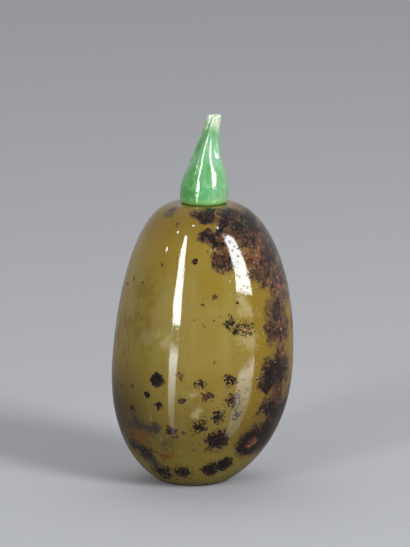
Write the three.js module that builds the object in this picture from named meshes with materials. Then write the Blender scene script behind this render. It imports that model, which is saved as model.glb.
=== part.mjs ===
// Snuff bottle: a hollowed pebble of moss agate, closed by a jadeite stopper carved as a stalk.
// Millimetres, +Z up. The origin lies on the plane that the foot stands on, under the middle
// of the bottle's widest part. The front is towards -Y.

import * as THREE from "three";
import { ParametricGeometry } from "three/addons/geometries/ParametricGeometry.js";

// Bottle, outside. Left, right and front each have an outline of their own: how far the wall
// stands from the middle at the foot, at the belly and at the mouth, and how full it is between.
const BOTTLE_HEIGHT = 57;
const BELLY_REACH = 18.3;
const DEPTH_TO_WIDTH = 0.86;
const LEFT_SIDE = {
  bottom: 0, belly: 21.8, top: BOTTLE_HEIGHT,
  footReach: 7.7, bellyReach: BELLY_REACH, mouthReach: 4.7,
  lowerFullness: [2.35, 1.48], upperFullness: [1.6, 2.32],
};
const RIGHT_SIDE = {
  bottom: 0, belly: 28.2, top: BOTTLE_HEIGHT,
  footReach: 4.3, bellyReach: BELLY_REACH, mouthReach: 5.3,
  lowerFullness: [2.5, 1.3], upperFullness: [2.04, 1.95],
};
const FRONT_SIDE = {
  bottom: 0, belly: 25, top: BOTTLE_HEIGHT,
  footReach: 5.3, bellyReach: BELLY_REACH * DEPTH_TO_WIDTH, mouthReach: 5,
  lowerFullness: [2.4, 1.4], upperFullness: [1.85, 2.15],
};

// Bottle, inside: a bored neck over a cavity that follows the outside.
const MOUTH_X = (RIGHT_SIDE.mouthReach - LEFT_SIDE.mouthReach) / 2;
const BORE_RADIUS = 3.3;
const NECK_LENGTH = 8;
const WALL = 3.6;
const BASE_THICKNESS = 5;
const CAVITY_WIDTH = {
  bottom: BASE_THICKNESS, belly: 24, top: BOTTLE_HEIGHT - NECK_LENGTH,
  footReach: 0, bellyReach: BELLY_REACH - WALL, mouthReach: BORE_RADIUS,
  lowerFullness: [2.36, 1.41], upperFullness: [1.85, 2],
};
const CAVITY_DEPTH = { ...CAVITY_WIDTH, bellyReach: FRONT_SIDE.bellyReach - WALL };

// Stopper: a plug in the bore under a stalk that leans towards +X and narrows to a cut tip.
const PLUG_LENGTH = 4;
const PLUG_TOP_RADIUS = 3;
const PLUG_END_RADIUS = 2.7;
const STALK_HEIGHT = 17.7;
const STALK_RADIUS = 4.8;
const TIP_RADIUS = 1.45;
const BASE_ROUNDING = { height: 1.1, inset: 0.6 };
const TIP_ROUNDING = 0.25;
const TAPER_START = 2.2;
const TAPER_POWER = 0.85;
const LEAN = 2.1;
const LEAN_POWER = 1.9;

// Creases between the stalk's folds. Each starts above the round base and ends at the tip, and
// winds from one bearing to another: degrees from the front, growing towards +X.
const CREASE_START = 6;
const CREASE_FULL = 11;
const CREASE_DEPTH = 0.2;
const CREASE_WIDTH = 17;
const CREASES = [
  { low: -90, high: -25 },
  { low: 48, high: 16 },
  { low: 100, high: 62 },
  { low: 150, high: 130 },
  { low: 195, high: 185 },
  { low: 232, high: 228 },
];

// Fineness of the skins
const BOTTLE_SIDES = 56;
const STOPPER_SIDES = 64;
const OUTSIDE_RINGS = { lower: 13, upper: 17 };
const CAVITY_RINGS = { lower: 7, upper: 9 };
const STALK_RINGS = 20;
const ROUNDING_RINGS = 3;

const AGATE = new THREE.MeshStandardMaterial({ color: 0x8f7a36, roughness: 0.12, metalness: 0 });
const JADEITE = new THREE.MeshStandardMaterial({ color: 0x6fb877, roughness: 0.18, metalness: 0 });

/** How far a side stands from the middle at height z. */
function reachAt(side, z) {
  const above = z > side.belly;
  const run = above ? side.top - side.belly : side.belly - side.bottom;
  const end = above ? side.mouthReach : side.footReach;
  const [sideFullness, endFullness] = above ? side.upperFullness : side.lowerFullness;
  const travel = Math.min(1, Math.abs(z - side.belly) / run);
  const swell = (1 - travel ** sideFullness) ** (1 / endFullness);
  return end + (side.bellyReach - end) * swell;
}

/** Heights from a side's bottom to its top, closer together where the surface turns over. */
function stationHeights(side, rings) {
  const heights = [];
  for (let i = 0; i < rings.lower; i += 1) {
    const turn = (i / rings.lower) * Math.PI / 2;
    heights.push(side.belly - (side.belly - side.bottom) * Math.cos(turn));
  }
  for (let i = 0; i < rings.upper; i += 1) {
    const turn = (i / rings.upper) * Math.PI / 2;
    heights.push(side.belly + (side.top - side.belly) * Math.sin(turn));
  }
  heights.push(side.top);
  return heights;
}

/** A level ring: an oval about (x, 0), or a single point where both radii are 0. */
function ovalRing(z, x, halfWidth, halfDepth) {
  return (bearing) => new THREE.Vector3(
    x + halfWidth * Math.sin(bearing), -halfDepth * Math.cos(bearing), z);
}

/** A closed skin drawn through rings, from a point at its start to a point at its end. */
function skin(rings, sides) {
  const last = rings.length - 1;
  const surface = (u, v, target) => {
    target.copy(rings[Math.round(v * last)](2 * Math.PI * u));
  };
  return new ParametricGeometry(surface, sides, last);
}

function outsideRings() {
  return stationHeights(FRONT_SIDE, OUTSIDE_RINGS).map((z) => {
    const left = reachAt(LEFT_SIDE, z);
    const right = reachAt(RIGHT_SIDE, z);
    return ovalRing(z, (right - left) / 2, (left + right) / 2, reachAt(FRONT_SIDE, z));
  });
}

/** The cavity's rings from the neck down. Their middle drifts from under the mouth to x = 0. */
function cavityRings() {
  const heights = stationHeights(CAVITY_WIDTH, CAVITY_RINGS).reverse();
  return heights.map((z) => {
    const rise = THREE.MathUtils.smoothstep(z, CAVITY_WIDTH.belly, CAVITY_WIDTH.top);
    return ovalRing(z, MOUTH_X * rise, reachAt(CAVITY_WIDTH, z), reachAt(CAVITY_DEPTH, z));
  });
}

function bottle() {
  const footMiddle = (RIGHT_SIDE.footReach - LEFT_SIDE.footReach) / 2;
  const rings = [
    ovalRing(0, footMiddle, 0, 0),
    ...outsideRings(),
    ovalRing(BOTTLE_HEIGHT, MOUTH_X, BORE_RADIUS, BORE_RADIUS),
    ...cavityRings(),
  ];
  const mesh = new THREE.Mesh(skin(rings, BOTTLE_SIDES), AGATE);
  mesh.name = "bottle";
  return mesh;
}

/** The stalk's radius before its creases are cut. */
function stalkRadius(z) {
  const edge = Math.max(0, 1 - z / BASE_ROUNDING.height);
  const rounding = BASE_ROUNDING.inset * (1 - Math.sqrt(1 - edge ** 2));
  const travel = Math.max(0, (z - TAPER_START) / (STALK_HEIGHT - TAPER_START));
  const fullness = (1 + Math.cos(Math.PI * travel ** TAPER_POWER)) / 2;
  return TIP_RADIUS + (STALK_RADIUS - TIP_RADIUS) * fullness - rounding;
}

/** What share of the radius the creases take away at one bearing and height. */
function creaseCut(bearing, z) {
  const climb = Math.max(0, (z - CREASE_START) / (STALK_HEIGHT - CREASE_START));
  const strength = THREE.MathUtils.smoothstep(z, CREASE_START, CREASE_FULL);
  let cut = 0;
  for (const crease of CREASES) {
    const line = THREE.MathUtils.degToRad(crease.low + (crease.high - crease.low) * climb);
    const away = Math.atan2(Math.sin(bearing - line), Math.cos(bearing - line));
    const widths = away / THREE.MathUtils.degToRad(CREASE_WIDTH);
    cut += CREASE_DEPTH * strength * Math.exp(-(widths ** 2));
  }
  return cut;
}

function stalkRing(z, inset = 0) {
  const x = LEAN * (z / STALK_HEIGHT) ** LEAN_POWER;
  return (bearing) => {
    const radius = (stalkRadius(z) - inset) * (1 - creaseCut(bearing, z));
    return new THREE.Vector3(x + radius * Math.sin(bearing), -radius * Math.cos(bearing), z);
  };
}

function stopper() {
  const roundingStep = BASE_ROUNDING.height / ROUNDING_RINGS;
  const shaftLength = STALK_HEIGHT - TIP_ROUNDING - BASE_ROUNDING.height;
  const rings = [
    ovalRing(-PLUG_LENGTH, 0, 0, 0),
    ovalRing(-PLUG_LENGTH, 0, PLUG_END_RADIUS, PLUG_END_RADIUS),
    ovalRing(0, 0, PLUG_TOP_RADIUS, PLUG_TOP_RADIUS),
  ];
  for (let i = 0; i < ROUNDING_RINGS; i += 1) {
    rings.push(stalkRing(i * roundingStep));
  }
  for (let i = 0; i <= STALK_RINGS; i += 1) {
    rings.push(stalkRing(BASE_ROUNDING.height + (i / STALK_RINGS) * shaftLength));
  }
  rings.push(stalkRing(STALK_HEIGHT, TIP_ROUNDING));
  rings.push(ovalRing(STALK_HEIGHT, LEAN, 0, 0));
  const mesh = new THREE.Mesh(skin(rings, STOPPER_SIDES), JADEITE);
  mesh.name = "stopper";
  mesh.position.set(MOUTH_X, 0, BOTTLE_HEIGHT);
  return mesh;
}

const snuffBottle = new THREE.Group();
snuffBottle.name = "snuff_bottle";
snuffBottle.add(bottle(), stopper());

export default snuffBottle;
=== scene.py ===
"""Snuff bottle: a hollowed moss agate pebble with a carved jadeite stopper.

Everything is in metres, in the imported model's own frame: +Z up, the front towards -Y.
"""

import math
from collections import namedtuple

import bpy
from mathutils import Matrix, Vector


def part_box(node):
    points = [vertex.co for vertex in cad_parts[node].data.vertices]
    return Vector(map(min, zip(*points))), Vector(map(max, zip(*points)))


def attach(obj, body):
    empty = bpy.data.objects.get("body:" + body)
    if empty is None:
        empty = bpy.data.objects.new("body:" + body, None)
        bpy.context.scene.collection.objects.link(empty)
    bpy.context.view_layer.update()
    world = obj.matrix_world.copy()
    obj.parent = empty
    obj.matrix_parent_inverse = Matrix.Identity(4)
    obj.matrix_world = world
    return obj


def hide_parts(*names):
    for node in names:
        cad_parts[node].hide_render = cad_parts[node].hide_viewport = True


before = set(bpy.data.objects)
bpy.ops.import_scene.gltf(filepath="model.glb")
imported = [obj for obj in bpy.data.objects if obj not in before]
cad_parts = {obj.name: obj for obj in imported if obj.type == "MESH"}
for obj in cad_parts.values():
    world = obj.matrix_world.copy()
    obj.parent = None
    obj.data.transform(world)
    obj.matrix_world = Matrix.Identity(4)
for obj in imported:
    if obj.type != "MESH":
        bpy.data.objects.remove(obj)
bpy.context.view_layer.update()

bl_info = {
    "name": "Moss Agate Snuff Bottle",
    "version": (1, 0, 0),
    "blender": (4, 5, 0),
    "location": "3D View > Sidebar > Snuff Bottle",
    "description": "Carves a hollow moss agate bottle and its jadeite stopper",
    "category": "Add Mesh",
}

MM = 0.001
BOTTLE_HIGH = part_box("bottle")[1]
STOPPER_LOW, STOPPER_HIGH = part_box("stopper")
MOUTH_X = 0.3 * MM
SIDES = 96

Ring = namedtuple("Ring", "x z half_width half_depth")
# A run of clumps on the outside: bearings in degrees from the front, heights and sizes in
# millimetres, each a pair for its first and last clump.
Run = namedtuple("Run", "count bearings heights sizes spikes rust", defaults=(0.0, 0.0))
Clump = namedtuple("Clump", "bearing height radius spikes rust")


# ---------------------------------------------------------------- settings


def linear(code):
    """A hex colour as the linear red, green and blue that shaders and colour settings take."""
    channels = [int(code[i:i + 2], 16) / 255 for i in (0, 2, 4)]
    return tuple(c / 12.92 if c <= 0.04045 else ((c + 0.055) / 1.055) ** 2.4 for c in channels)


def length_setting(name, description, default):
    return bpy.props.FloatProperty(
        name=name, description=description, default=default, min=0.0,
        unit="LENGTH", subtype="DISTANCE")


def colour_setting(name, description, code):
    return bpy.props.FloatVectorProperty(
        name=name, description=description, default=linear(code), size=3,
        min=0.0, max=1.0, subtype="COLOR")


class BottleSettings(bpy.types.PropertyGroup):
    """Sizes and colours of the agate bottle."""

    height: length_setting("Height", "From foot to mouth", BOTTLE_HIGH.z)
    half_width: length_setting("Half width", "From the middle to a side", BOTTLE_HIGH.x)
    half_depth: length_setting("Half depth", "From the middle to the front", BOTTLE_HIGH.y)
    wall: length_setting("Wall", "Thickness of the stone at the belly", 3.6 * MM)
    bore_radius: length_setting("Bore radius", "Radius of the mouth's bore", 3.3 * MM)
    neck_length: length_setting("Neck length", "Depth of the straight bore", 8 * MM)
    base_thickness: length_setting("Base", "Thickness of the stone at the foot", 5 * MM)
    unevenness: length_setting("Unevenness", "Waviness of the hand polish", 0.12 * MM)
    honey: colour_setting("Honey", "The stone where it is clearest", "867431")
    olive: colour_setting("Olive", "The darker vertical bands", "836a1e")
    # Near the foot, umber is partly painted shade, besides the thicker stone's own darker colour.
    umber: colour_setting("Umber", "The stone near the foot", "3c2c18")
    cream: colour_setting("Cream", "Milky veils", "b3a477")
    moss_black: colour_setting("Moss black", "Hearts of the moss", "15100d")
    moss_brown: colour_setting("Moss brown", "Thin moss", "4a3526")
    rust: colour_setting("Rust", "Iron stains in the moss", "76452a")
    copper: colour_setting("Copper", "Glints in the rust", "c79777")


class StopperSettings(bpy.types.PropertyGroup):
    """Sizes and colours of the jadeite stopper."""

    plug_radius: length_setting("Plug radius", "At the top of the plug", 3 * MM)
    plug_end_radius: length_setting("Plug end radius", "At its lower end", 2.7 * MM)
    stalk_radius: length_setting("Stalk radius", "At the widest part", 4.8 * MM)
    tip_radius: length_setting("Tip radius", "At the cut end", 1.45 * MM)
    lean: length_setting("Lean", "How far the tip stands to one side", 2.1 * MM)
    crease_depth: length_setting("Crease depth", "Of the folds at the widest", 0.96 * MM)
    apple: colour_setting("Apple green", "The stone at large", "6aa66c")
    emerald: colour_setting("Emerald", "The deep green patches", "42963b")
    pale: colour_setting("Pale green", "The clouded side", "9bbf9f")
    tip_white: colour_setting("Tip white", "The cut end", "d7dcc8")


class StageSettings(bpy.types.PropertyGroup):
    """Floor, light and camera."""

    lens: bpy.props.FloatProperty(
        name="Lens", description="Focal length", default=229.7, min=1.0,
        unit="CAMERA")
    distance: length_setting("Distance", "From the camera to the bottle's axis", 0.7)
    elevation: bpy.props.FloatProperty(
        name="Elevation", description="How far the camera looks down",
        default=math.radians(12), unit="ROTATION", subtype="ANGLE")
    window_light: bpy.props.FloatProperty(
        name="Window light", description="Brightness of the two windows", default=20.0, min=0.0)
    overhead: bpy.props.FloatProperty(
        name="Overhead light", description="Power of the wide light above", default=11.0,
        min=0.0, unit="POWER")
    floor: colour_setting("Floor", "Colour of the floor", "a8a8aa")
    surround: colour_setting("Surround", "Colour of the room's soft light", "a3a3a6")


# ---------------------------------------------------------------- forms


class Outline:
    """How far one side stands from the middle, from its bottom over its belly to its top."""

    def __init__(self, heights, reaches, lower_fullness, upper_fullness):
        self.bottom, self.belly, self.top = heights
        self.foot, self.reach, self.mouth = reaches
        self.lower_fullness = lower_fullness
        self.upper_fullness = upper_fullness

    def at(self, z):
        above = z > self.belly
        run = self.top - self.belly if above else self.belly - self.bottom
        end = self.mouth if above else self.foot
        side_fullness, end_fullness = self.upper_fullness if above else self.lower_fullness
        travel = min(1.0, abs(z - self.belly) / run)
        return end + (self.reach - end) * (1 - travel ** side_fullness) ** (1 / end_fullness)

    def heights(self, lower_rings, upper_rings):
        """Ring heights from bottom to top, closer together where the surface turns over."""
        for i in range(lower_rings):
            turn = math.cos(i / lower_rings * math.pi / 2)
            yield self.belly - (self.belly - self.bottom) * turn
        for i in range(upper_rings + 1):
            turn = math.sin(i / upper_rings * math.pi / 2)
            yield self.belly + (self.top - self.belly) * turn


def smoothstep(value, low, high):
    share = min(1.0, max(0.0, (value - low) / (high - low)))
    return share * share * (3 - 2 * share)


def bottle_outlines(settings):
    """The left, right and front outlines of the outside."""
    top = settings.height
    width = settings.half_width
    left = Outline((0, 21.8 * MM, top), (7.7 * MM, width, 4.7 * MM), (2.35, 1.48), (1.6, 2.32))
    right = Outline((0, 28.2 * MM, top), (4.3 * MM, width, 5.3 * MM), (2.5, 1.3), (2.04, 1.95))
    front = Outline(
        (0, 25 * MM, top), (5.3 * MM, settings.half_depth, 5 * MM), (2.4, 1.4), (1.85, 2.15))
    return left, right, front


def outside_ring(outlines, z):
    left, right, front = (outline.at(z) for outline in outlines)
    return Ring((right - left) / 2, z, (left + right) / 2, front)


def outside_point(settings, bearing, height):
    """The point of the outside at a bearing in degrees from the front towards +X."""
    ring = outside_ring(bottle_outlines(settings), height)
    turn = math.radians(bearing)
    return Vector((
        ring.x + ring.half_width * math.sin(turn), -ring.half_depth * math.cos(turn), height))


def cavity_rings(settings):
    """The cavity's rings from the neck down. Their middle drifts from the mouth to x = 0."""
    heights = (settings.base_thickness, 24 * MM, settings.height - settings.neck_length)
    tip = 0.4 * MM
    wide = Outline(
        heights, (tip, settings.half_width - settings.wall, settings.bore_radius),
        (2.36, 1.41), (1.85, 2))
    deep = Outline(
        heights, (tip, settings.half_depth - settings.wall, settings.bore_radius),
        (2.36, 1.41), (1.85, 2))
    for z in reversed(list(wide.heights(11, 14))):
        drift = MOUTH_X * smoothstep(z, wide.belly, wide.top)
        yield Ring(drift, z, wide.at(z), deep.at(z))


def bottle_rings(settings):
    """All rings of the bottle: foot, outside, rim, bore and cavity."""
    outlines = bottle_outlines(settings)
    foot = outside_ring(outlines, 0)
    for share in (0.1, 0.35, 0.65, 0.9):
        yield Ring(foot.x, 0, foot.half_width * share, foot.half_depth * share)
    yield from (outside_ring(outlines, z) for z in outlines[2].heights(24, 32))
    top, bore = settings.height, settings.bore_radius
    lip = 0.12 * MM
    for widening in (8 * lip, 3 * lip, lip):
        yield Ring(MOUTH_X, top, bore + widening, bore + widening)
    yield Ring(MOUTH_X, top - lip, bore, bore)
    for depth in (0.06, 0.3, 0.6, 0.92):
        yield Ring(MOUTH_X, top - settings.neck_length * depth, bore, bore)
    yield from cavity_rings(settings)


# ---------------------------------------------------------------- modelling by hand


def draw_rings(name, rings, sides):
    """Draws a closed skin: a disc, extruded and widened from ring to ring, closed to a point."""
    first = rings[0]
    bpy.ops.object.select_all(action="DESELECT")
    bpy.ops.mesh.primitive_circle_add(
        vertices=sides, radius=first.half_width, fill_type="TRIFAN",
        location=(first.x, 0, first.z))
    piece = bpy.context.object
    piece.name = piece.data.name = name
    bpy.ops.object.transform_apply(location=True, rotation=True, scale=True)
    bpy.ops.object.mode_set(mode="EDIT")
    bpy.ops.mesh.select_mode(type="EDGE")
    bpy.ops.mesh.select_all(action="DESELECT")
    bpy.ops.mesh.select_non_manifold()
    squeeze = first.half_depth / first.half_width
    bpy.ops.transform.resize(value=(1, squeeze, 1), center_override=(first.x, 0, first.z))
    for last, ring in zip(rings, rings[1:]):
        step = (ring.x - last.x, 0, ring.z - last.z)
        widening = (ring.half_width / last.half_width, ring.half_depth / last.half_depth, 1)
        bpy.ops.mesh.extrude_edges_move(TRANSFORM_OT_translate={"value": step})
        bpy.ops.transform.resize(value=widening, center_override=(ring.x, 0, ring.z))
    bpy.ops.mesh.edge_face_add()
    bpy.ops.mesh.poke()
    bpy.ops.mesh.select_all(action="SELECT")
    bpy.ops.mesh.normals_make_consistent(inside=False)
    bpy.ops.object.mode_set(mode="OBJECT")
    return piece


def weigh(piece, name, share):
    """A vertex group whose weight at each point is share(point)."""
    group = piece.vertex_groups.new(name=name)
    for vertex in piece.data.vertices:
        group.add([vertex.index], share(vertex.co), "REPLACE")
    return group.name


def apply_modifier(piece, kind, name, **values):
    modifier = piece.modifiers.new(name, kind)
    for key, value in values.items():
        setattr(modifier, key, value)
    bpy.ops.object.modifier_apply(modifier=modifier.name)


def refine(piece):
    apply_modifier(piece, "SUBSURF", "Refine", levels=1, render_levels=1)


def smooth_over(piece, sharp_from):
    bpy.ops.object.shade_smooth_by_angle(angle=math.radians(sharp_from))
    piece.vertex_groups.clear()


def hand_finish(piece, name, wave_length, strength, share):
    """Waves of a hand-polished surface, where share(point) lets them."""
    waves = bpy.data.textures.new(name, "CLOUDS")
    waves.noise_scale = wave_length
    apply_modifier(
        piece, "DISPLACE", name, texture=waves, texture_coords="LOCAL", mid_level=0.5,
        strength=strength, vertex_group=weigh(piece, name, share))


def finish_piece(piece, node, material):
    piece.data.materials.clear()
    piece.data.materials.append(material)
    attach(piece, "root")
    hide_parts(node)


# ---------------------------------------------------------------- stopper's form

CREASE_START = 6 * MM
CREASE_FULL = 11 * MM
CREASE_WIDTH = math.radians(17)
CREASES = ((-90, -25), (48, 16), (100, 62), (150, 130), (195, 185), (232, 228))


def stalk_ring(settings, z, inset=0.0):
    """The stalk's ring at height z above the mouth, before its creases are sunk."""
    height = STOPPER_HIGH.z - BOTTLE_HIGH.z
    rounding_height, rounding_inset = 1.1 * MM, 0.6 * MM
    taper_start, taper_power, lean_power = 2.2 * MM, 0.85, 1.9
    edge = max(0.0, 1 - z / rounding_height)
    rounding = rounding_inset * (1 - math.sqrt(1 - edge ** 2))
    travel = max(0.0, (z - taper_start) / (height - taper_start))
    fullness = (1 + math.cos(math.pi * travel ** taper_power)) / 2
    radius = settings.tip_radius + (settings.stalk_radius - settings.tip_radius) * fullness
    radius -= rounding + inset
    lean = settings.lean * (z / height) ** lean_power
    return Ring(MOUTH_X + lean, BOTTLE_HIGH.z + z, radius, radius)


def stopper_rings(settings):
    top = BOTTLE_HIGH.z
    bottom = STOPPER_LOW.z
    edge = 0.25 * MM
    end = settings.plug_end_radius
    for radius in (0.3 * end, 0.8 * end, end - edge):
        yield Ring(MOUTH_X, bottom, radius, radius)
    for share in (0.06, 0.3, 0.6, 0.9, 1):
        radius = end + (settings.plug_radius - end) * share
        yield Ring(MOUTH_X, bottom + (top - bottom) * share, radius, radius)
    base = stalk_ring(settings, 0)
    for radius in (0.8 * base.half_width, 0.97 * base.half_width):
        yield Ring(MOUTH_X, top, radius, radius)
    height = STOPPER_HIGH.z - top
    rings = 64
    for i in range(rings):
        yield stalk_ring(settings, (i / rings) ** 1.1 * (height - edge))
    yield stalk_ring(settings, height - edge)
    tip = stalk_ring(settings, height, edge)
    for share in (1, 0.7, 0.2):
        yield tip._replace(half_width=tip.half_width * share, half_depth=tip.half_depth * share)


def crease_share(settings, point):
    """How deep the stopper's creases are at a point, as a share of the deepest."""
    z = point.z - BOTTLE_HIGH.z
    height = STOPPER_HIGH.z - BOTTLE_HIGH.z
    if z < CREASE_START:
        return 0.0
    ring = stalk_ring(settings, min(z, height))
    bearing = math.atan2(point.x - ring.x, -point.y)
    climb = (z - CREASE_START) / (height - CREASE_START)
    strength = smoothstep(z, CREASE_START, CREASE_FULL) * ring.half_width / settings.stalk_radius
    total = 0.0
    for low, high in CREASES:
        line = math.radians(low + (high - low) * climb)
        away = math.remainder(bearing - line, math.tau) / CREASE_WIDTH
        total += strength * math.exp(-away ** 2)
    return min(1.0, total)


# ---------------------------------------------------------------- node wiring


class Wiring:
    """Adds nodes to a tree. An input is a socket to link or a plain value."""

    def __init__(self, tree):
        self.tree = tree

    def plug(self, socket, value):
        if isinstance(value, bpy.types.NodeSocket):
            self.tree.links.new(value, socket)
        elif value is not None:
            socket.default_value = value

    def node(self, kind, settings=None, **inputs):
        node = self.tree.nodes.new(kind)
        for name, value in (settings or {}).items():
            setattr(node, name, value)
        for name, value in inputs.items():
            self.plug(node.inputs[name.replace("_", " ")], value)
        return node

    def group(self, group, **inputs):
        return self.node("ShaderNodeGroup", {"node_tree": group}, **inputs)

    def math(self, operation, *values, clamp=False):
        node = self.node("ShaderNodeMath", {"operation": operation, "use_clamp": clamp})
        for socket, value in zip(node.inputs, values):
            self.plug(socket, value)
        return node.outputs[0]

    def vector(self, operation, *values, scale=None):
        node = self.node("ShaderNodeVectorMath", {"operation": operation})
        for socket, value in zip(node.inputs, values):
            self.plug(socket, value)
        if scale is not None:
            self.plug(node.inputs["Scale"], scale)
        return node.outputs["Value" if operation == "DISTANCE" else "Vector"]

    def ramp(self, value, low, high, to_low=0.0, to_high=1.0):
        """Runs smoothly from to_low to to_high as value goes from low to high."""
        node = self.node("ShaderNodeMapRange", {"interpolation_type": "SMOOTHSTEP"})
        values = (value, low, high, to_low, to_high)
        for socket, value in zip(node.inputs, values):
            self.plug(socket, value)
        return node.outputs[0]

    def mix(self, factor, first, second):
        node = self.node("ShaderNodeMix", {"data_type": "RGBA"})
        for index, value in ((0, factor), (6, first), (7, second)):
            if isinstance(value, tuple):
                value = (*value, 1)
            self.plug(node.inputs[index], value)
        return node.outputs[2]

    def noise(self, vector, scale, detail=2.0, roughness=0.5, distortion=0.0, kind="FBM"):
        node = self.node(
            "ShaderNodeTexNoise", {"noise_type": kind}, Vector=vector, Scale=scale,
            Detail=detail, Roughness=roughness, Distortion=distortion)
        return node.outputs["Fac"]

    def stir(self, vector, scale, amount):
        """Pushes places about by up to half the amount, in clouds of the scale."""
        cloud = self.node("ShaderNodeTexNoise", None, Vector=vector, Scale=scale, Detail=3.0)
        push = self.vector("SUBTRACT", cloud.outputs["Color"], (0.5, 0.5, 0.5))
        return self.vector("ADD", vector, self.vector("SCALE", push, scale=amount))

    def squash(self, vector, x=1.0, y=1.0, z=1.0):
        """Stretches a pattern: a factor under 1 makes it longer that way."""
        return self.vector("MULTIPLY", vector, (x, y, z))


def new_group(name, inputs, outputs):
    """Starts a shader node group, and gives its wiring, what it is given and its results."""
    group = bpy.data.node_groups.new(name, "ShaderNodeTree")
    for socket, kind, default in inputs:
        made = group.interface.new_socket(socket, in_out="INPUT", socket_type=kind)
        if default is not None:
            made.default_value = default
    for socket, kind in outputs:
        group.interface.new_socket(socket, in_out="OUTPUT", socket_type=kind)
    wiring = Wiring(group)
    given = wiring.node("NodeGroupInput").outputs
    result = wiring.node("NodeGroupOutput").inputs
    return wiring, given, result


FLOAT = "NodeSocketFloat"
VECTOR = "NodeSocketVector"


def tuft_group():
    """One clump of moss: a dense heart, torn at its edge into short branches."""
    w, given, result = new_group(
        "Moss Tuft",
        [("Position", VECTOR, None), ("Ragged", FLOAT, 0.0), ("Centre", VECTOR, None),
         ("Radius", FLOAT, 1.0), ("Spikes", FLOAT, 0.5)],
        [("Depth", FLOAT), ("Heart", FLOAT)])
    distance = w.vector("DISTANCE", given["Position"], given["Centre"])
    share = w.math("DIVIDE", distance, given["Radius"])
    torn = w.math("MULTIPLY_ADD", given["Spikes"], 2.0, 0.4)
    solid = w.math("MULTIPLY_ADD", given["Spikes"], -0.28, 1.0)
    reach = w.math("MULTIPLY_ADD", given["Ragged"], torn, solid)
    w.plug(result["Depth"], w.math("SUBTRACT", reach, share))
    w.plug(result["Heart"], w.ramp(share, 0.4, 0.12))


def patch_group():
    """A soft round patch about a place: 1 in its middle, 0 at its radius."""
    w, given, result = new_group(
        "Soft Patch",
        [("Position", VECTOR, None), ("Centre", VECTOR, None), ("Radius", FLOAT, 1.0)],
        [("Mask", FLOAT)])
    distance = w.vector("DISTANCE", given["Position"], given["Centre"])
    share = w.math("DIVIDE", distance, given["Radius"])
    w.plug(result["Mask"], w.math("SUBTRACT", 1.0, share, clamp=True))


def veil_group():
    """Soft clouds in a stone, drawn out along Z where Drawn is under 1."""
    w, given, result = new_group(
        "Veil",
        [("Position", VECTOR, None), ("Scale", FLOAT, 0.2), ("Drawn", FLOAT, 1.0),
         ("Low", FLOAT, 0.45), ("High", FLOAT, 0.7)],
        [("Mask", FLOAT)])
    stretch = w.node("ShaderNodeCombineXYZ", None, X=1.0, Y=1.0, Z=given["Drawn"])
    drawn = w.vector("MULTIPLY", given["Position"], stretch.outputs[0])
    cloud = w.noise(drawn, given["Scale"], 4.0, 0.55, 0.6)
    w.plug(result["Mask"], w.ramp(cloud, given["Low"], given["High"]))


def polish_group():
    """A hand polish: duller rubbed patches, and small pits."""
    w, given, result = new_group(
        "Polish",
        [("Position", VECTOR, None), ("Pit Size", FLOAT, 1.0)],
        [("Rub", FLOAT), ("Pits", FLOAT)])
    w.plug(result["Rub"], w.ramp(w.noise(given["Position"], 0.5, 5.0, 0.7), 0.4, 0.75))
    scale = w.math("DIVIDE", 1.0, given["Pit Size"])
    stirred = w.stir(given["Position"], 1.5, 0.7)
    cells = w.node("ShaderNodeTexVoronoi", {"feature": "F1"}, Vector=stirred, Scale=scale)
    rare = w.math("GREATER_THAN", w.noise(given["Position"], 0.7, 1.0), 0.45)
    pit = w.ramp(cells.outputs["Distance"], 0.28, 0.14)
    w.plug(result["Pits"], w.math("MULTIPLY", pit, rare))


def speck_group():
    """Grains scattered through a stone, of many sizes, no larger than Size cells."""
    w, given, result = new_group(
        "Specks",
        [("Position", VECTOR, None), ("Scale", FLOAT, 0.6), ("Size", FLOAT, 0.3),
         ("Share", FLOAT, 0.4)],
        [("Mask", FLOAT)])
    cells = w.node(
        "ShaderNodeTexVoronoi", {"feature": "F1"}, Vector=given["Position"],
        Scale=given["Scale"])
    chance = w.node("ShaderNodeSeparateColor", None, Color=cells.outputs["Color"])
    kept = w.math("LESS_THAN", chance.outputs[0], given["Share"])
    radius = w.math("MULTIPLY", chance.outputs[1], given["Size"])
    edge = w.math("SUBTRACT", radius, cells.outputs["Distance"])
    w.plug(result["Mask"], w.math("MULTIPLY", w.ramp(edge, 0.0, 0.06), kept))


def millimetres(wiring):
    """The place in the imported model's frame, in millimetres."""
    place = wiring.node("ShaderNodeTexCoord").outputs["Object"]
    return wiring.vector("SCALE", place, scale=1 / MM)


def new_material(name):
    material = bpy.data.materials.new(name)
    material.use_nodes = True
    material.node_tree.nodes.clear()
    return material, Wiring(material.node_tree)


def close_material(wiring, shader):
    output = wiring.node("ShaderNodeOutputMaterial")
    wiring.plug(output.inputs["Surface"], shader.outputs[0])


# ---------------------------------------------------------------- agate

AMBER = linear("7d6214")
# Deep brown, painted as shade over the lower left of the stone.
LEFT_PAINTED_SHADE = linear("46300f")
STREAK_BROWN = linear("54311b")
OLIVE_SHADE = linear("6b5611")
SMOKE_GREY = linear("37332e")
ORANGE_BROWN = linear("6e421d")
MOSS_UMBER = linear("2f1b13")

# How far a clump strays above or below its run, in its own radii, and the turn between strays.
STRAY = 0.35
STRAY_TURN = math.radians(137)


def spot(bearing, height, size, spikes=0.0, rust=0.0):
    """A run of a single clump."""
    return Run(1, (bearing, bearing), (height, height), (size, size), spikes, rust)


def between(ends, share):
    return ends[0] + (ends[1] - ends[0]) * share


def clumps(runs):
    """The clumps of these runs, each straying a little from the line between its run's ends."""
    found = []
    for run in runs:
        for i in range(run.count):
            share = i / max(1, run.count - 1)
            size = between(run.sizes, share)
            height = between(run.heights, share) + STRAY * size * math.sin(STRAY_TURN * i)
            found.append(Clump(between(run.bearings, share), height, size, run.spikes, run.rust))
    return found


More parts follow.
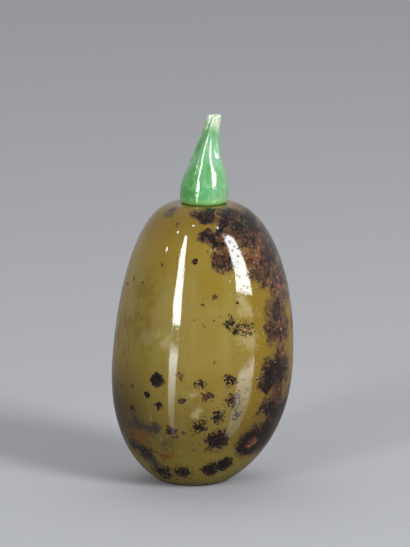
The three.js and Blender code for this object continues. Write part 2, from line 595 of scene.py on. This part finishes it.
# Moss under the collar, over the right shoulder, and down the right flank to the foot
FRONT_MOSS = (
    Run(4, (-6, 34), (56, 54.5), (2, 4)), Run(5, (34, 70), (53, 43), (5.5, 6.5)),
    Run(3, (2, 18), (52, 49.5), (2.5, 3.5)), Run(2, (56, 72), (54, 54), (5, 4)),
    Run(6, (56, 58), (37, 12), (4.5, 6.5)), Run(2, (46, 64), (10, 10), (4.5, 4)),
    Run(2, (48, 45), (25, 21), (4, 3)),
)
# Moss round the right side and over the back
BACK_MOSS = (
    Run(6, (84, 122), (50, 12), (6.5, 7)), Run(4, (152, 188), (50, 33), (5, 4.5)),
    Run(4, (205, 252), (12, 16), (4.5, 4.5)), Run(2, (-88, -112), (10, 20), (5, 3)),
    spot(76, 15, 6.5),
)
RUSTY_MOSS = (
    Run(3, (20, 66), (50, 44), (4, 8.5)), Run(3, (58, 62), (33, 22), (4, 4)),
    spot(100, 30, 7), spot(170, 42, 6), spot(222, 17, 4),
)
# Small branching clumps standing alone: on the front from the waist down to the foot
FRONT_TUFTS = (
    Run(2, (16, 21), (35.5, 33.5), (2.4, 1.8), 0.55), spot(28, 34, 3, 0.6, 0.8),
    spot(-14, 25, 1.6, 0.6, 1.2), Run(2, (-1, 17), (23.5, 23.5), (1.9, 2.4), 0.5),
    Run(3, (-13, 21), (20, 21), (1.4, 3), 0.5, 0.4), spot(-19, 13.5, 2.2, 0.5),
    Run(3, (0, 24), (14.5, 17.5), (2.8, 2), 0.5), Run(2, (-62, -50), (21, 17), (0.9, 1.3), 0.5),
    Run(3, (-58, -35), (9, 5), (3.6, 4.2), 0.45), spot(-12, 4, 3.6, 0.45),
)
# Dense black spots on the left, the two great rosettes at the lower right, and small ones above
FRONT_SPOTS = (
    spot(-30, 23.8, 2, 0.1), spot(-37, 20.5, 0.9), spot(-28, 18.5, 1.5, 0.3),
    spot(13, 11.5, 3.9, 0.25), spot(44, 10, 5, 0.1, 1), Run(2, (15, 26), (4.7, 4.9), (3, 3), 0.2),
    spot(58, 18, 1.5, 0.4, 1.4), spot(-8, 47.5, 1, 0.1, 0.5), spot(22, 39.5, 0.5, 0.2),
)
BACK_TUFTS = (
    Run(4, (120, 215), (42, 36), (1.8, 2.6), 0.45), Run(3, (-92, -140), (42, 12), (1.4, 3), 0.45),
    spot(150, 22, 2.4, 0.5),
)
PITTED = (Run(2, (28, 30), (51, 43), (8, 3.6)), spot(60, 27, 14), spot(28, 21, 6))
CREAM = (
    Run(3, (-41, -24), (32, 32.5), (2.8, 2.6)), Run(2, (-7, -4), (20.5, 17), (3.8, 2)),
    Run(3, (25, 29), (40, 33), (2.6, 3.4)),
)
SMOKE = (
    Run(3, (-48, -25), (14, 11.5), (3.8, 3.2)), Run(2, (-48, 62), (56, 56), (2.2, 3.4)),
    spot(-75, 16, 6), spot(-44, 6.5, 4),
)
STREAKS = (Run(2, (-66, -60), (32, 27), (5, 3.4)), spot(-150, 40, 7))
OLIVE_CLOUDS = (Run(2, (-46, -44), (41, 32), (6.5, 6.5)),)
ORANGE = (Run(3, (-52, -26), (11, 9), (3.2, 2.8)),)


def patches(wiring, settings, position, runs):
    """The strongest of the soft patches about these runs' clumps."""
    group = bpy.data.node_groups["Soft Patch"]
    strongest = None
    for place in clumps(runs):
        centre = outside_point(settings, place.bearing, place.height * MM) / MM
        patch = wiring.group(
            group, Position=position, Centre=tuple(centre), Radius=place.radius).outputs[0]
        strongest = patch if strongest is None else wiring.math("MAXIMUM", strongest, patch)
    return strongest


def agate_ground(w, settings, position):
    """The clear stone: honey, with olive bands, darker and browner towards the foot, partly the
    thicker stone's own colour and partly painted shade, with painted shade low on the left.
    """
    veil = bpy.data.node_groups["Veil"]
    honey, olive, umber = tuple(settings.honey), tuple(settings.olive), tuple(settings.umber)
    bands = w.group(veil, Position=position, Scale=0.2, Drawn=0.12, Low=0.42, High=0.6)
    clouds = w.group(veil, Position=position, Scale=0.09, Drawn=0.6, Low=0.4, High=0.65)
    parts = w.node("ShaderNodeSeparateXYZ", None, Vector=position).outputs
    height = parts["Z"]
    wavy = w.math("ADD", height, w.math("MULTIPLY", w.noise(position, 0.12, 2.0), 8.0))
    colour = w.mix(w.math("MULTIPLY", bands.outputs[0], 0.7), honey, olive)
    colour = w.mix(w.math("MULTIPLY", clouds.outputs[0], 0.1), colour, tuple(settings.cream))
    colour = w.mix(w.ramp(parts["X"], -6.0, -17.0, 0.0, 0.3), colour, olive)
    colour = w.mix(w.ramp(parts["X"], 3.0, 13.0, 0.0, 0.8), colour, AMBER)
    # Painted shade: deep brown over the lower left side, darkening the stone as shade would.
    painted_left_shade = w.math("MULTIPLY", w.ramp(parts["X"], -7.0, -18.0), w.ramp(height, 32.0, 16.0))
    colour = w.mix(w.math("MULTIPLY", painted_left_shade, 0.9), colour, LEFT_PAINTED_SHADE)
    # Umber towards the foot: partly the thicker stone's own darker colour, partly painted shade
    # where the foot gets little light.
    colour = w.mix(w.ramp(wavy, 34.0, 2.0, 0.0, 0.8), colour, umber)
    colour = w.mix(w.ramp(height, 40.0, 55.0, 0.0, 0.8), colour, olive)
    colour = w.mix(w.ramp(height, 14.0, 3.0, 0.0, 0.85), colour, honey)
    return w.mix(w.ramp(height, 49.0, 57.0, 0.0, 0.35), colour, umber)


def agate_stains(w, settings, position, colour):
    """Milky, smoky and rusty clouds in the stone."""
    veil = bpy.data.node_groups["Veil"]
    fine = w.group(veil, Position=position, Scale=0.5, Drawn=0.7, Low=0.35, High=0.7)
    stirred = w.stir(position, 0.35, 5.0)
    drops = w.group(veil, Position=position, Scale=1.1, Drawn=0.22, Low=0.5, High=0.62)
    streaked = w.math("MULTIPLY", patches(w, settings, position, STREAKS), 1.6)
    streaked = w.math("MULTIPLY", streaked, drops.outputs[0], clamp=True)
    colour = w.mix(w.math("MULTIPLY", streaked, 0.75), colour, STREAK_BROWN)
    for runs, stain, strength in (
        (CREAM, tuple(settings.cream), 0.45),
        (OLIVE_CLOUDS, OLIVE_SHADE, 0.5),
        (SMOKE, SMOKE_GREY, 0.95),
        (ORANGE, ORANGE_BROWN, 0.95),
    ):
        near = patches(w, settings, stirred, runs)
        spread = w.math("MULTIPLY", near, w.math("ADD", fine.outputs[0], 0.25))
        colour = w.mix(w.ramp(spread, 0.05, 0.7, 0.0, strength), colour, stain)
    return colour


def tufts(w, settings, position, ragged):
    """How deep a place is in its clump of moss, and how near a rusty heart."""
    group = bpy.data.node_groups["Moss Tuft"]
    depth = None
    hearts = None
    for star in clumps(FRONT_TUFTS + FRONT_SPOTS + BACK_TUFTS):
        centre = outside_point(settings, star.bearing, star.height * MM) / MM
        made = w.group(
            group, Position=position, Ragged=ragged, Centre=tuple(centre), Radius=star.radius,
            Spikes=star.spikes).outputs
        depth = made["Depth"] if depth is None else w.math("MAXIMUM", depth, made["Depth"])
        if star.rust:
            heart = w.math("MULTIPLY", made["Heart"], star.rust)
            hearts = heart if hearts is None else w.math("MAXIMUM", hearts, heart)
    return depth, hearts


def moss_masks(w, settings, position):
    """Masks of the thin moss, of the dense moss, and of its rust."""
    stirred = w.stir(position, 0.3, 5.0)
    near = patches(w, settings, stirred, FRONT_MOSS + BACK_MOSS)
    cloud = w.noise(stirred, 0.5, 6.0, 0.72, 0.4)
    threads = w.noise(stirred, 0.8, 4.0, 0.6, 0.8, "RIDGED_MULTIFRACTAL")
    swing = w.math("MULTIPLY", w.math("SUBTRACT", cloud, 0.5), w.ramp(near, 0.0, 0.3, 0.0, 2.4))
    grown = w.math("ADD", near, swing)
    thread = w.math("MULTIPLY", w.ramp(threads, 0.65, 0.9), w.ramp(near, 0.05, 0.35))
    haze = w.ramp(near, 0.0, 0.5, 0.0, 0.4)
    thin = w.math("MAXIMUM", w.ramp(grown, 0.05, 0.4, 0.0, 0.9), w.math("MAXIMUM", haze, thread))
    fine_stir = w.stir(position, 0.7, 1.6)
    fine = w.math("SUBTRACT", w.noise(fine_stir, 1.8, 4.0, 0.65), 0.5)
    crisp = w.ramp(w.noise(position, 0.3, 2.0), 0.42, 0.58, 0.3, 2.0)
    dense = w.ramp(w.math("MULTIPLY_ADD", fine, crisp, grown), 0.32, 0.66)
    rust = w.math("MULTIPLY", patches(w, settings, stirred, RUSTY_MOSS), 1.5)
    ridges = w.noise(fine_stir, 1.5, 3.0, 0.6, 0.4, "RIDGED_MULTIFRACTAL")
    branching = w.ramp(ridges, 0.3, 0.9, -0.25, 0.5)
    ragged = w.math("MULTIPLY_ADD", fine, 1.8, branching)
    depth, hearts = tufts(w, settings, fine_stir, ragged)
    thin = w.math("MAXIMUM", thin, w.ramp(depth, -0.08, 0.22))
    dense = w.math("MAXIMUM", dense, w.math("SUBTRACT", w.ramp(depth, 0.02, 0.3), hearts))
    rust = w.math("MULTIPLY_ADD", hearts, 1.6, rust)
    return thin, dense, rust


def agate_moss(w, settings, position, colour):
    """Lays the moss into the stone."""
    specks = bpy.data.node_groups["Specks"]
    stirred = w.stir(position, 1.3, 1.5)
    large = w.group(specks, Position=stirred, Scale=0.5, Size=0.3, Share=0.5)
    small = w.group(specks, Position=stirred, Scale=1.0, Size=0.28, Share=0.35)
    sparse = w.ramp(w.noise(position, 0.12, 2.0), 0.4, 0.48)
    scattered = w.math("MAXIMUM", large.outputs[0], small.outputs[0])
    colour = w.mix(w.math("MULTIPLY", scattered, sparse), colour, tuple(settings.moss_brown))
    thin, dense, rust = moss_masks(w, settings, position)
    grain = w.noise(position, 0.7, 6.0, 0.75)
    colour = w.mix(thin, colour, tuple(settings.moss_brown))
    mottle = w.ramp(w.noise(position, 0.9, 5.0, 0.7), 0.46, 0.66)
    dark = w.mix(mottle, tuple(settings.moss_black), MOSS_UMBER)
    colour = w.mix(dense, colour, dark)
    # Painted glints: bright copper specks in the rust stand for sparks of reflected light.
    painted_glints = w.ramp(w.noise(position, 2.6, 2.0, 0.5), 0.58, 0.66)
    rusty = w.mix(painted_glints, tuple(settings.rust), tuple(settings.copper))
    rusted = w.math("MULTIPLY", w.math("MULTIPLY", rust, thin), w.ramp(grain, 0.4, 0.72))
    return w.mix(w.math("MINIMUM", rusted, 1.0), colour, rusty)


def agate_material(settings):
    material, w = new_material("moss agate")
    position = millimetres(w)
    colour = agate_ground(w, settings, position)
    colour = agate_stains(w, settings, position, colour)
    colour = agate_moss(w, settings, position, colour)
    rough = patches(w, settings, position, PITTED)
    polish = w.group(bpy.data.node_groups["Polish"], Position=position, Pit_Size=1.0).outputs
    uneven = w.math("MULTIPLY", w.noise(position, 1.2, 4.0, 0.6), 0.18)
    broken = w.math("SUBTRACT", uneven, polish["Pits"])
    rough = w.math("MULTIPLY_ADD", rough, 1.5, 0.04, clamp=True)
    height = w.math("MULTIPLY", broken, rough)
    bump = w.node("ShaderNodeBump", None, Strength=0.5, Distance=0.0002, Height=height)
    shader = w.node(
        "ShaderNodeBsdfPrincipled", None, Base_Color=colour,
        Roughness=w.ramp(polish["Rub"], 0.0, 1.0, 0.03, 0.08), IOR=1.54,
        Subsurface_Weight=0.12, Subsurface_Radius=(1.0, 0.7, 0.3), Subsurface_Scale=0.0008,
        Normal=bump.outputs[0])
    close_material(w, shader)
    return material


# ---------------------------------------------------------------- jadeite

SEA_GREEN = linear("4fae77")
MILK_GREEN = linear("93bb9c")
FLECK_GREEN = linear("a9cf8c")
# Yellow green painted round the foot of the stalk as light shining through its rim.
BASE_RIM_PAINTED_GLOW = linear("86b860")
UPPER_GREEN = linear("b9cf8f")


def jadeite_colour(w, settings, position):
    """Apple green with deep and milky clouds, yellower at its base where light shining through
    the rim is painted, and whitish at the tip.
    """
    veil = bpy.data.node_groups["Veil"]
    emerald = w.group(veil, Position=position, Scale=0.28, Drawn=0.4, Low=0.48, High=0.66)
    pale = w.group(veil, Position=position, Scale=0.5, Drawn=0.35, Low=0.45, High=0.75)

    def near(centre, radius, strength):
        patch = w.group(
            bpy.data.node_groups["Soft Patch"], Position=w.stir(position, 0.8, 1.5),
            Centre=centre, Radius=radius)
        return w.math("MULTIPLY", patch.outputs[0], strength, clamp=True)

    parts = w.node("ShaderNodeSeparateXYZ", None, Vector=position).outputs
    to_side = w.ramp(parts["X"], -1.0, 5.5)
    colour = w.mix(emerald.outputs[0], tuple(settings.apple), tuple(settings.emerald))
    colour = w.mix(w.ramp(parts["X"], -0.5, -4.5, 0.0, 0.3), colour, tuple(settings.emerald))
    colour = w.mix(near((-3.2, -3.6, 60.5), 4.0, 0.9), colour, tuple(settings.emerald))
    colour = w.mix(near((0.6, -4.5, 60), 2.2, 0.7), colour, SEA_GREEN)
    clouded = w.math("MULTIPLY", w.math("ADD", pale.outputs[0], 0.25), to_side)
    colour = w.mix(w.math("MULTIPLY", clouded, 0.8), colour, tuple(settings.pale))
    colour = w.mix(near((3.0, -2.0, 67.5), 3.6, 0.9), colour, MILK_GREEN)
    flecks = w.group(veil, Position=position, Scale=1.1, Drawn=0.6, Low=0.52, High=0.68)
    colour = w.mix(w.math("MULTIPLY", flecks.outputs[0], 0.35), colour, FLECK_GREEN)
    # Painted light: yellow green round the base, standing for light shining through the rim.
    colour = w.mix(w.ramp(parts["Z"], 59.0, 57.4, 0.0, 0.6), colour, BASE_RIM_PAINTED_GLOW)
    tip = STOPPER_HIGH.z / MM
    colour = w.mix(w.ramp(parts["Z"], tip - 4, tip, 0.0, 0.5), colour, UPPER_GREEN)
    to_tip = w.math("MULTIPLY_ADD", parts["X"], 0.9, parts["Z"])
    # Whitish at the cut end, whiter towards the right.
    tip_whitening = w.ramp(to_tip, tip - 1.4, tip + 1.0, 0.0, 0.75)
    return w.mix(tip_whitening, colour, tuple(settings.tip_white))


def jadeite_material(settings):
    material, w = new_material("jadeite")
    position = millimetres(w)
    colour = jadeite_colour(w, settings, position)
    polish = w.group(bpy.data.node_groups["Polish"], Position=position, Pit_Size=0.6).outputs
    grain = w.noise(w.squash(position, z=0.3), 1.6, 3.0, 0.6)
    height = w.math("SUBTRACT", w.math("MULTIPLY", grain, 0.5), polish["Pits"])
    bump = w.node("ShaderNodeBump", None, Strength=0.3, Distance=0.00012, Height=height)
    shader = w.node(
        "ShaderNodeBsdfPrincipled", None, Base_Color=colour,
        Roughness=w.ramp(polish["Rub"], 0.0, 1.0, 0.1, 0.22), IOR=1.66,
        Subsurface_Weight=0.5, Subsurface_Radius=(0.8, 1.0, 0.7), Subsurface_Scale=0.0012,
        Coat_Weight=0.6, Coat_Roughness=0.06, Coat_IOR=1.5, Normal=bump.outputs[0])
    close_material(w, shader)
    return material


# ---------------------------------------------------------------- stage

FLOOR_SIZE = 12.0
LAMP_SIZE = 0.05
LAMPS = ((-0.28, -0.49, 0.9), (-0.83, -0.4, 0.48), (0.34, -0.48, 0.89), (-0.65, -0.42, 0.71))
LEFT_WINDOW = (
    (-0.62, -0.78, 0.05), (-0.47, -0.88, 0.05), (-0.48, -0.6, 0.7), (-0.43, -0.63, 0.7))
RIGHT_WINDOW = (
    (0.63, -0.76, 0.2), (0.87, -0.49, 0.16), (0.45, -0.55, 0.75), (0.63, -0.43, 0.69))


def floor_material(colour):
    """Pale and matt as seen, but in the bottle's reflections a darker polished table."""
    material, w = new_material("floor")
    seen = w.node("ShaderNodeLightPath").outputs["Is Camera Ray"]
    matt = w.node("ShaderNodeBsdfDiffuse", None, Color=(*colour, 1))
    polished = w.node(
        "ShaderNodeBsdfPrincipled", None, Base_Color=(0.12, 0.12, 0.12, 1), Roughness=0.1)
    both = w.node("ShaderNodeMixShader")
    for socket, value in zip(both.inputs, (seen, polished.outputs[0], matt.outputs[0])):
        w.plug(socket, value)
    close_material(w, both)
    return material


def lamp_corners(middle):
    """The corners of a small square lamp about a middle, facing the bottle."""
    middle = Vector(middle)
    across = middle.cross((0, 0, 1)).normalized() * LAMP_SIZE / 2
    climb = across.cross(middle).normalized() * LAMP_SIZE / 2
    return (middle - across - climb, middle + across - climb,
            middle - across + climb, middle + across + climb)


def window(name, corners, radiance):
    """A soft box with these four corners, which the camera doesn't see itself."""
    bpy.ops.object.select_all(action="DESELECT")
    bpy.ops.mesh.primitive_plane_add(size=1.0)
    pane = bpy.context.object
    pane.name = name
    for vertex, corner in zip(pane.data.vertices, corners):
        vertex.co = corner
    material, w = new_material(name)
    close_material(w, w.node(
        "ShaderNodeEmission", None, Color=(0.92, 0.96, 1, 1), Strength=radiance))
    pane.data.materials.append(material)
    pane.visible_camera = False


def overhead_light(power):
    """A wide soft light above, which gives no highlight of its own."""
    light = bpy.data.lights.new("overhead", "AREA")
    light.size = 1.6
    light.energy = power
    lamp = bpy.data.objects.new("overhead", light)
    bpy.context.scene.collection.objects.link(lamp)
    lamp.location = (0, 0.8, 1.7)
    lamp.visible_camera = False
    lamp.visible_glossy = False


def set_surround(colour):
    """A room that is dim before the bottle and paler behind it."""
    world = bpy.context.scene.world or bpy.data.worlds.new("surround")
    bpy.context.scene.world = world
    world.use_nodes = True
    w = Wiring(world.node_tree)
    direction = w.node("ShaderNodeTexCoord").outputs["Generated"]
    behind = w.node("ShaderNodeSeparateXYZ", None, Vector=direction).outputs["Y"]
    background = world.node_tree.nodes["Background"]
    background.inputs["Color"].default_value = (*colour, 1)
    w.plug(background.inputs["Strength"], w.ramp(behind, -0.5, 0.5, 0.55, 1.3))


def place_camera(settings):
    """A long lens at the given elevation, aimed a little above and beside the belly."""
    watched = Vector((0, 0, 37.4 * MM))
    aim = Vector((0.5 * MM, 0, 42.5 * MM))
    back = Vector((0, -math.cos(settings.elevation), math.sin(settings.elevation)))
    data = bpy.data.cameras.new("camera")
    data.lens = settings.lens
    data.sensor_width = 36.0
    data.clip_start, data.clip_end = 0.01, 20.0
    camera = bpy.data.objects.new("camera", data)
    bpy.context.scene.collection.objects.link(camera)
    camera.location = watched + back * settings.distance
    camera.rotation_mode = "QUATERNION"
    camera.rotation_quaternion = (aim - camera.location).to_track_quat("-Z", "Y")
    bpy.context.scene.camera = camera


# ---------------------------------------------------------------- operators


class SNUFF_OT_carve_bottle(bpy.types.Operator):
    """Carve and hollow the moss agate bottle"""

    bl_idname = "snuff_bottle.carve_bottle"
    bl_label = "Carve Bottle"

    def execute(self, context):
        settings = context.scene.snuff_bottle
        bottle = draw_rings("moss_agate_bottle", list(bottle_rings(settings)), SIDES)
        refine(bottle)
        outlines = bottle_outlines(settings)

        def outside(point):
            ring = outside_ring(outlines, min(max(point.z, 0.0), settings.height))
            across = (point.x - ring.x) / ring.half_width
            deep = point.y / ring.half_depth
            on_skin = smoothstep(math.hypot(across, deep), 0.9, 0.97)
            ends = smoothstep(point.z, 0.1 * MM, 6 * MM) * smoothstep(
                settings.height - point.z, 0.1 * MM, 4 * MM)
            return on_skin * ends

        hand_finish(bottle, "polish waves", 9 * MM, settings.unevenness, outside)
        smooth_over(bottle, 40)
        finish_piece(bottle, "bottle", agate_material(settings))
        return {"FINISHED"}


class SNUFF_OT_carve_stopper(bpy.types.Operator):
    """Carve the jadeite stopper as a leaning, creased stalk on a plug"""

    bl_idname = "snuff_bottle.carve_stopper"
    bl_label = "Carve Stopper"

    def execute(self, context):
        settings = context.scene.snuff_stopper
        stopper = draw_rings("jadeite_stopper", list(stopper_rings(settings)), SIDES)
        refine(stopper)
        creases = weigh(stopper, "creases", lambda point: crease_share(settings, point))
        apply_modifier(
            stopper, "DISPLACE", "creases", mid_level=0.0, strength=-settings.crease_depth,
            vertex_group=creases)

        def stalk(point):
            above = point.z - BOTTLE_HIGH.z
            return smoothstep(above, 0.3 * MM, 3 * MM) * smoothstep(
                STOPPER_HIGH.z - point.z, 0.1 * MM, 2 * MM)

        hand_finish(stopper, "carver's facets", 4 * MM, 0.2 * MM, stalk)
        smooth_over(stopper, 50)
        finish_piece(stopper, "stopper", jadeite_material(settings))
        return {"FINISHED"}


class SNUFF_OT_set_stage(bpy.types.Operator):
    """Set the floor, the soft lights and the camera"""

    bl_idname = "snuff_bottle.set_stage"
    bl_label = "Set Stage"

    def execute(self, context):
        settings = context.scene.snuff_stage
        bpy.ops.object.select_all(action="DESELECT")
        bpy.ops.mesh.primitive_plane_add(size=FLOOR_SIZE)
        floor = context.object
        floor.name = "floor"
        floor.data.materials.append(floor_material(tuple(settings.floor)))
        set_surround(tuple(settings.surround))
        window("left window", LEFT_WINDOW, settings.window_light)
        window("right window", RIGHT_WINDOW, settings.window_light)
        for number, middle in enumerate(LAMPS):
            window("lamp %d" % number, lamp_corners(middle), settings.window_light)
        overhead_light(settings.overhead)
        place_camera(settings)
        context.scene.view_settings.view_transform = "Standard"
        return {"FINISHED"}


class SNUFF_PT_panel(bpy.types.Panel):
    """Lists the pieces of the snuff bottle and their settings"""

    bl_idname = "SNUFF_PT_panel"
    bl_label = "Snuff Bottle"
    bl_space_type = "VIEW_3D"
    bl_region_type = "UI"
    bl_category = "Snuff Bottle"

    def draw(self, context):
        for operator, owner in PARTS:
            box = self.layout.box()
            box.operator(operator.bl_idname)
            settings = getattr(context.scene, owner)
            for name in settings.__annotations__:
                box.prop(settings, name)


PARTS = (
    (SNUFF_OT_carve_bottle, "snuff_bottle"),
    (SNUFF_OT_carve_stopper, "snuff_stopper"),
    (SNUFF_OT_set_stage, "snuff_stage"),
)
SETTINGS = {
    "snuff_bottle": BottleSettings,
    "snuff_stopper": StopperSettings,
    "snuff_stage": StageSettings,
}
CLASSES = (*SETTINGS.values(), *(operator for operator, _ in PARTS), SNUFF_PT_panel)


def register():
    for each in CLASSES:
        bpy.utils.register_class(each)
    for owner, settings in SETTINGS.items():
        setattr(bpy.types.Scene, owner, bpy.props.PointerProperty(type=settings))


def unregister():
    for owner in SETTINGS:
        delattr(bpy.types.Scene, owner)
    for each in reversed(CLASSES):
        bpy.utils.unregister_class(each)


def main():
    register()
    for build_group in (tuft_group, patch_group, veil_group, polish_group, speck_group):
        build_group()
    bpy.ops.snuff_bottle.set_stage()
    bpy.ops.snuff_bottle.carve_bottle()
    bpy.ops.snuff_bottle.carve_stopper()


if __name__ == "__main__":
    main()
